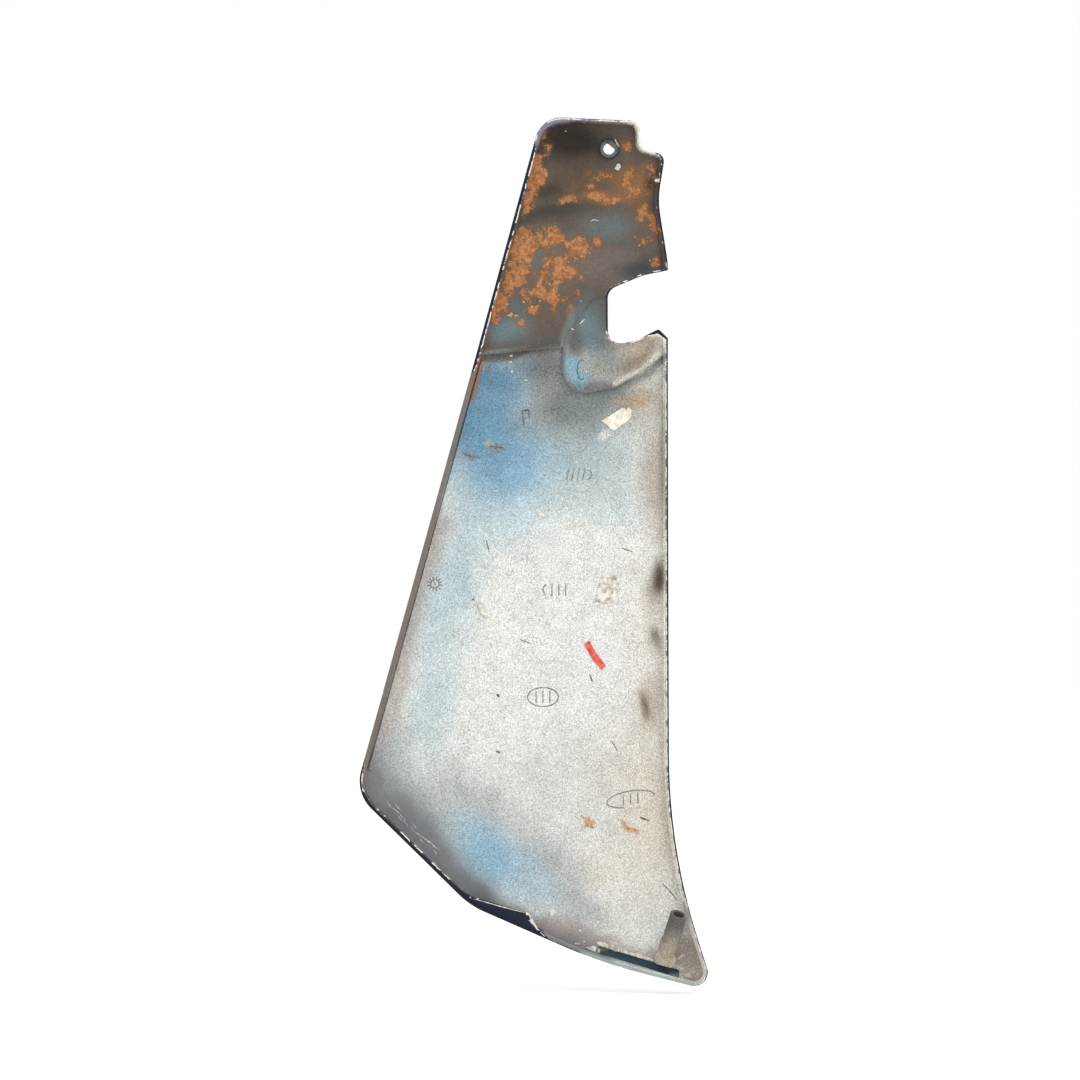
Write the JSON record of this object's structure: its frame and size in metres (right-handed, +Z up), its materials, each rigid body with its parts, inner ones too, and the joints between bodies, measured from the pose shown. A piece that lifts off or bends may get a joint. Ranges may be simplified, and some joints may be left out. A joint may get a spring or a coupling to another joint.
{
  "type": "radiator side cover",
  "caption": "Thin bowed plastic side panel with a turned-in rim, a joggled top tab with a screw hole, a notch in one edge, a long groove and a leaning locating peg.",
  "frame": {"origin": "on the axis of the screw hole in the top tab, between its seat and the end of its collar", "axes": "+Z up the cover's length from the pointed bottom to the top tab, +X towards the notched edge, +Y out through the screw hole to the glossy outer side"},
  "size_m": [0.1611, 0.0411, 0.4016],
  "materials": {
    "cover_plastic": "dark navy gloss outside and on the rim's end face; inside silver and blue overspray with rust-brown dirt"
  },
  "bodies": {
    "root": {"side_cover": "cover_plastic"}
  },
  "joints": []
}
